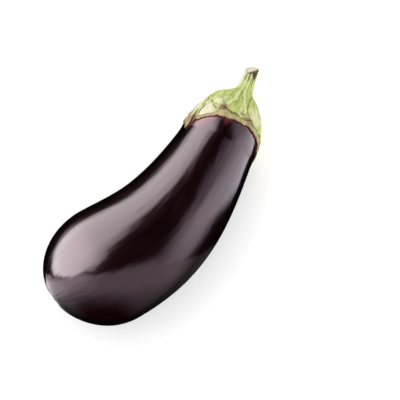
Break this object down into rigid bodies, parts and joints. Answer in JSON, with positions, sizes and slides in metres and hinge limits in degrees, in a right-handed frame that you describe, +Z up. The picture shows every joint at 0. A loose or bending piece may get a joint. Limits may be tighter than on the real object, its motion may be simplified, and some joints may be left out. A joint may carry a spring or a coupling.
{
  "type": "eggplant",
  "caption": "Whole ripe globe eggplant with a bent, tapering glossy fruit, a lobed calyx over its neck and a short cut stem, lying on its side.",
  "frame": {"origin": "on the surface the eggplant lies on, under the middle of its bounding box", "axes": "+X from the blossom end towards the stem, +Z up"},
  "size_m": [0.2286, 0.0916, 0.0838],
  "materials": {
    "skin": "waxy, glossy blackish-purple skin, reddish under the calyx",
    "calyx": "matte leathery yellow-green, dry and brown along its rim",
    "stem": "matte woody pale green, with a dry cream-brown cut end"
  },
  "bodies": {
    "root": {"fruit": "skin", "calyx": "calyx", "stem": "stem"}
  },
  "joints": []
}
